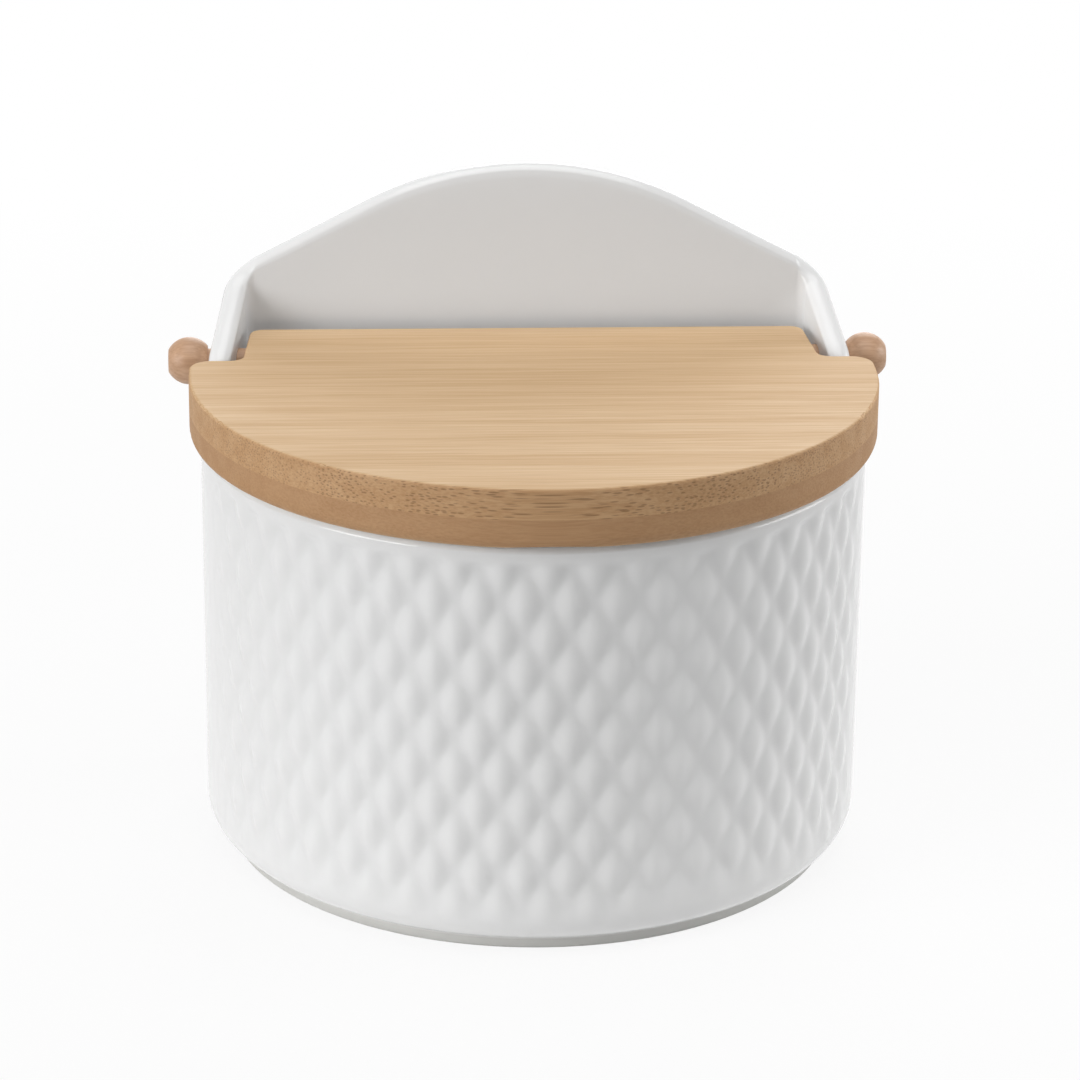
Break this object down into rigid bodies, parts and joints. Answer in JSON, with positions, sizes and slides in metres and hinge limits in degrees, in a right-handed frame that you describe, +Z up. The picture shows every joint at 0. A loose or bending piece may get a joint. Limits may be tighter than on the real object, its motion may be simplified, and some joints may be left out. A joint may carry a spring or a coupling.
{
  "type": "salt box",
  "caption": "Glazed porcelain salt box with a quilted diamond wall and a tall arched back, closed by a glued bamboo lid that swings up on ball-headed wooden pegs.",
  "frame": {"origin": "on the surface the box stands on, under the middle of its length and depth", "axes": "+Z up, the round front faces -Y, the arched back faces +Y, the pegs point along +X and -X"},
  "size_m": [0.149, 0.1064, 0.1326],
  "materials": {
    "porcelain": "white porcelain under a clear gloss glaze",
    "bamboo_top": "light bamboo with straight grain, sanded and oiled",
    "bamboo_low": "darker bamboo with straight grain, sanded and oiled",
    "peg_wood": "turned pinkish hardwood, satin"
  },
  "bodies": {
    "box": {"porcelain_body": "porcelain"},
    "lid": {"lid_top_front": "bamboo_top", "lid_top_middle_a": "bamboo_top", "lid_top_middle_b": "bamboo_top", "lid_top_rear": "bamboo_top", "lid_low_front": "bamboo_low", "lid_low_middle_a": "bamboo_low", "lid_low_middle_b": "bamboo_low", "lid_low_rear": "bamboo_low", "peg_right": "peg_wood", "peg_left": "peg_wood"}
  },
  "joints": [
    {"name": "lid_hinge", "type": "hinge", "parent": "box", "child": "lid", "pos_m": [0, 0.03845, 0.094], "axis": [-1, 0, 0], "range_deg": [0, 95]}
  ]
}
